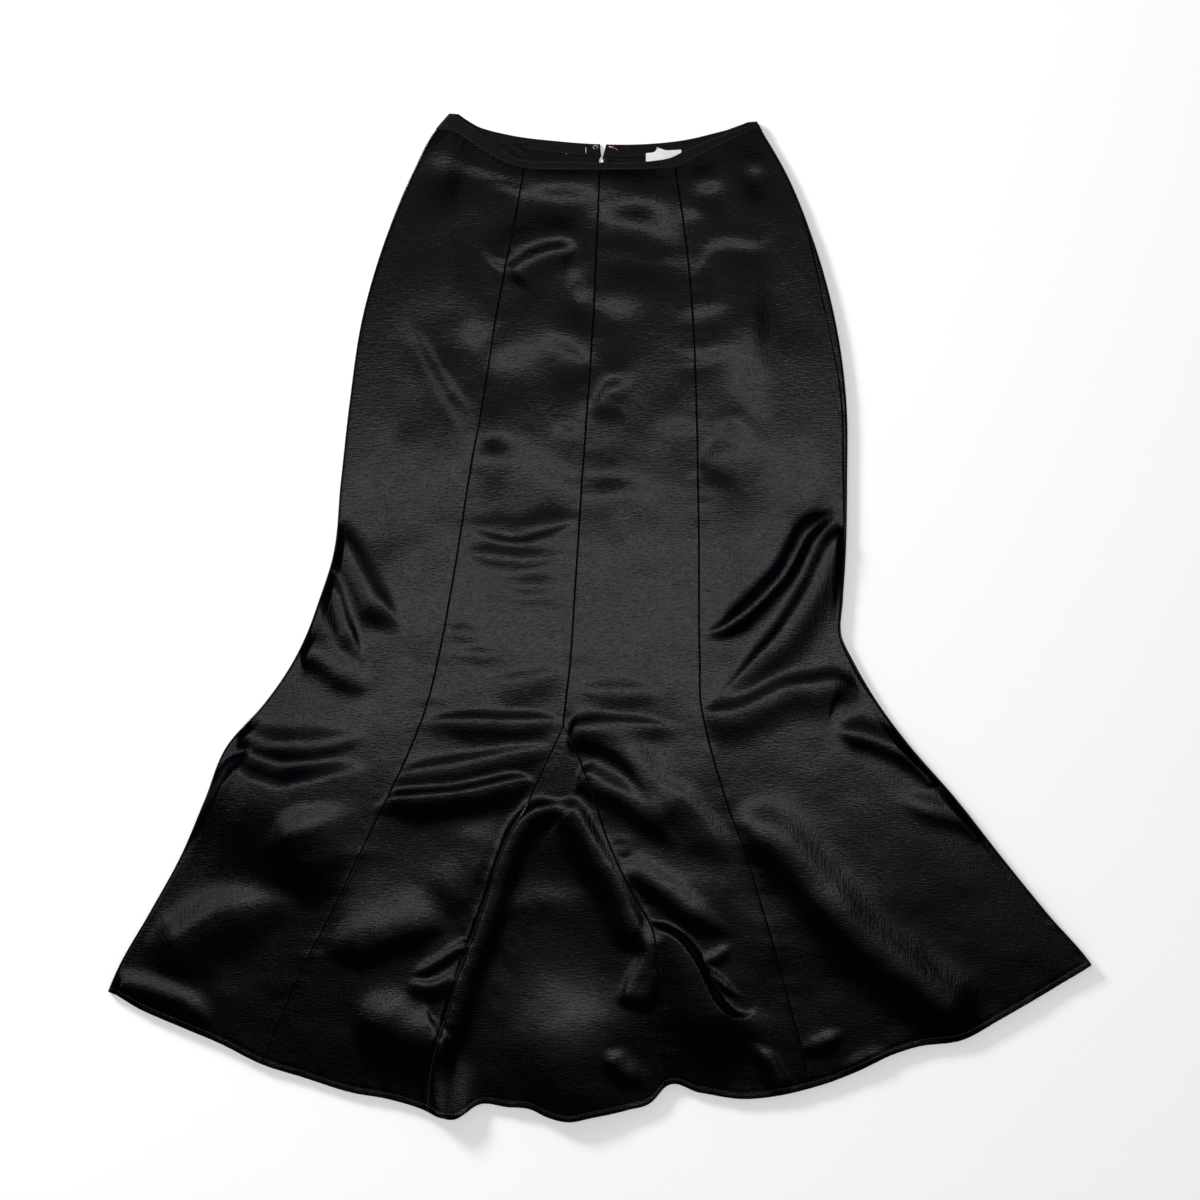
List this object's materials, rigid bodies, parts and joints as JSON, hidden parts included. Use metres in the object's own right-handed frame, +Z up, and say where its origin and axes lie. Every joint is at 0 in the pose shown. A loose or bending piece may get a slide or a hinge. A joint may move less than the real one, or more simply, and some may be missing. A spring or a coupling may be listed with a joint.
{
  "type": "mermaid fishtail skirt",
  "caption": "Fitted mermaid skirt in black satin with a flared fishtail hem and a godet at the centre front, laid flat with its front up.",
  "frame": {"origin": "on the surface it lies on, under the middle of the skirt's bounding box", "axes": "+X towards the skirt's right edge seen from above, +Y towards the waist, +Z up out of the front"},
  "size_m": [1.0329, 1.0573, 0.0174],
  "materials": {
    "satin": "heavy black satin, glossy, with a fine crosswise rib",
    "binding": "matt black woven binding",
    "zip_tape": "matt black zip tape",
    "dark_metal": "black enamelled metal, worn to steel at the edges",
    "warm_metal": "black enamel worn to copper",
    "label_cloth": "white woven label, blank",
    "tag_paper": "beige woven tag, blank"
  },
  "bodies": {
    "skirt": {"front_side_left": "satin", "front_centre_left": "satin", "front_godet": "satin", "front_centre_right": "satin", "front_side_right": "satin", "back_side_left": "satin", "back_centre_left": "satin", "back_centre_right": "satin", "back_side_right": "satin", "waistband_front_left": "binding", "waistband_front_right": "binding", "waistband_back_left": "binding", "waistband_back_right": "binding", "zip_tape_left": "zip_tape", "zip_tape_right": "zip_tape", "zip_slider": "dark_metal", "eye": "dark_metal", "hook": "warm_metal", "label_white": "label_cloth", "tag_beige": "tag_paper"},
    "pull": {"zip_pull": "dark_metal"}
  },
  "joints": [
    {"name": "pull_hinge", "type": "hinge", "parent": "skirt", "child": "pull", "pos_m": [0.00143, 0.46673, 0.00068], "axis": [1, 0, 0], "range_deg": [0, 120]}
  ]
}
